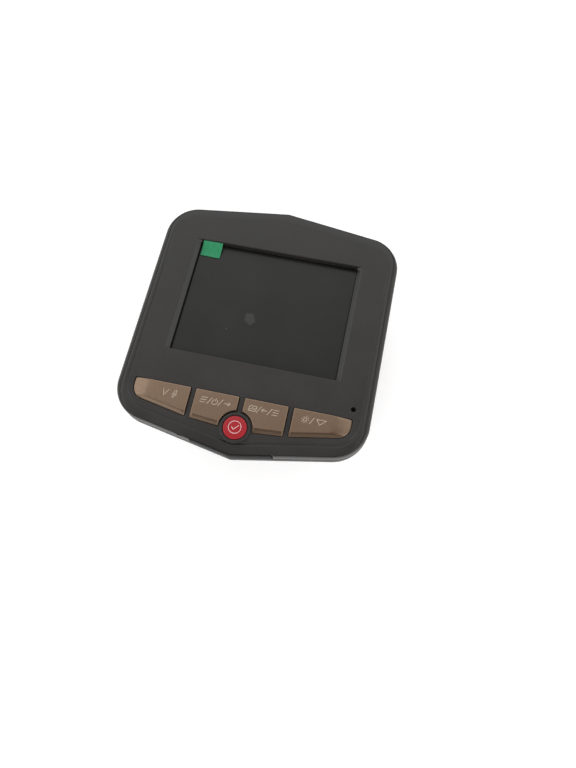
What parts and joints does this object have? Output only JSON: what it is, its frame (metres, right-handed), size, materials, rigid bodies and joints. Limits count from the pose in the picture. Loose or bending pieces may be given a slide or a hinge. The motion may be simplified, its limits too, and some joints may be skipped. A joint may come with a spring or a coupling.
{
  "type": "dash camera",
  "caption": "Shield-shaped in-cab recorder, ordered as a taxi meter: recessed screen, bronze keys, red round key, and a ringed lens with lamps on the far side.",
  "frame": {"origin": "on the resting plane, under the middle of the case's bounding box; the part lies face up on its lens ring", "axes": "+Z out of the screen, +Y towards the top of the screen, +X to the right of somebody facing the screen"},
  "size_m": [0.066, 0.0715, 0.0311],
  "materials": {
    "face_plastic": "satin black moulded plastic",
    "case_plastic": "fine-textured black moulded plastic",
    "rim_paint": "grey lacquered rim",
    "gloss_plastic": "gloss black",
    "dark_nylon": "matt black nylon",
    "clear_film": "thin clear film over the dark screen",
    "green_tape": "green pull tape",
    "screen_glass": "dark polarised glass",
    "white_plastic": "white plastic",
    "plated_steel": "tin-plated sheet steel",
    "foam": "black foam",
    "flex_film": "amber ribbon film",
    "chip_plastic": "black moulding compound",
    "board": "green lacquered laminate",
    "battery_foil": "silver laminate foil",
    "brass_can": "brass can",
    "card_plastic": "black plastic",
    "ring_metal": "silver lacquered ring",
    "lens_glass": "coated glass",
    "lamp_resin": "water-clear resin",
    "screw_steel": "blackened steel",
    "red_plastic": "red moulded plastic",
    "key_finish": "bronze metallised lacquer on plastic"
  },
  "bodies": {
    "case": {"front_shell": "face_plastic", "back_shell": "case_plastic", "trim_band": "rim_paint", "bottom_insert": "gloss_plastic", "mount_rail": "dark_nylon", "protective_film": "clear_film", "film_pull_tab": "green_tape", "lcd_glass": "screen_glass", "backlight_panel": "white_plastic", "lcd_tray": "plated_steel", "screen_gasket": "foam", "lcd_flex": "flex_film", "lcd_connector": "chip_plastic", "main_board": "board", "processor": "chip_plastic", "flash_chip": "chip_plastic", "battery": "battery_foil", "speaker": "dark_nylon", "microphone": "brass_can", "power_socket": "plated_steel", "card_socket": "plated_steel", "reset_switch": "plated_steel", "lens_ring": "ring_metal", "lamp_plate": "gloss_plastic", "lens_barrel": "dark_nylon", "front_lens": "lens_glass", "rear_lens": "lens_glass", "lens_holder": "dark_nylon", "image_sensor": "chip_plastic", "lamp_board": "board", "lamp_1": "lamp_resin", "lamp_2": "lamp_resin", "lamp_3": "lamp_resin", "lamp_4": "lamp_resin", "lamp_5": "lamp_resin", "lamp_6": "lamp_resin", "case_screw_1": "screw_steel", "case_screw_2": "screw_steel", "case_screw_3": "screw_steel", "case_screw_4": "screw_steel", "board_screw_1": "screw_steel", "board_screw_2": "screw_steel", "switch_menu": "plated_steel", "switch_power": "plated_steel", "switch_mode": "plated_steel", "switch_lamp": "plated_steel", "switch_ok": "plated_steel"},
    "key_menu": {"key_menu": "key_finish", "plunger_menu": "chip_plastic"},
    "key_power": {"key_power": "key_finish", "plunger_power": "chip_plastic"},
    "key_mode": {"key_mode": "key_finish", "plunger_mode": "chip_plastic"},
    "key_lamp": {"key_lamp": "key_finish", "plunger_lamp": "chip_plastic"},
    "key_ok": {"key_ok": "red_plastic", "plunger_ok": "chip_plastic"},
    "memory_card": {"memory_card": "card_plastic"},
    "reset_plunger": {"reset_plunger": "white_plastic"}
  },
  "joints": [
    {"name": "press_menu", "type": "slide", "parent": "case", "child": "key_menu", "axis": [0, 0, -1], "range_m": [0, 0.0004], "stiffness_N_per_m": 2500, "springref_m": -0.0004},
    {"name": "press_power", "type": "slide", "parent": "case", "child": "key_power", "axis": [0, 0, -1], "range_m": [0, 0.0004], "stiffness_N_per_m": 2500, "springref_m": -0.0004},
    {"name": "press_mode", "type": "slide", "parent": "case", "child": "key_mode", "axis": [0, 0, -1], "range_m": [0, 0.0004], "stiffness_N_per_m": 2500, "springref_m": -0.0004},
    {"name": "press_lamp", "type": "slide", "parent": "case", "child": "key_lamp", "axis": [0, 0, -1], "range_m": [0, 0.0004], "stiffness_N_per_m": 2500, "springref_m": -0.0004},
    {"name": "press_ok", "type": "slide", "parent": "case", "child": "key_ok", "axis": [0, 0, -1], "range_m": [0, 0.0004], "stiffness_N_per_m": 2500, "springref_m": -0.0004},
    {"name": "card_slide", "type": "slide", "parent": "case", "child": "memory_card", "axis": [-1, 0, 0], "range_m": [0, 0.012]},
    {"name": "press_reset", "type": "slide", "parent": "case", "child": "reset_plunger", "axis": [0, 1, 0], "range_m": [0, 0.0003], "stiffness_N_per_m": 2500, "springref_m": -0.0003}
  ]
}
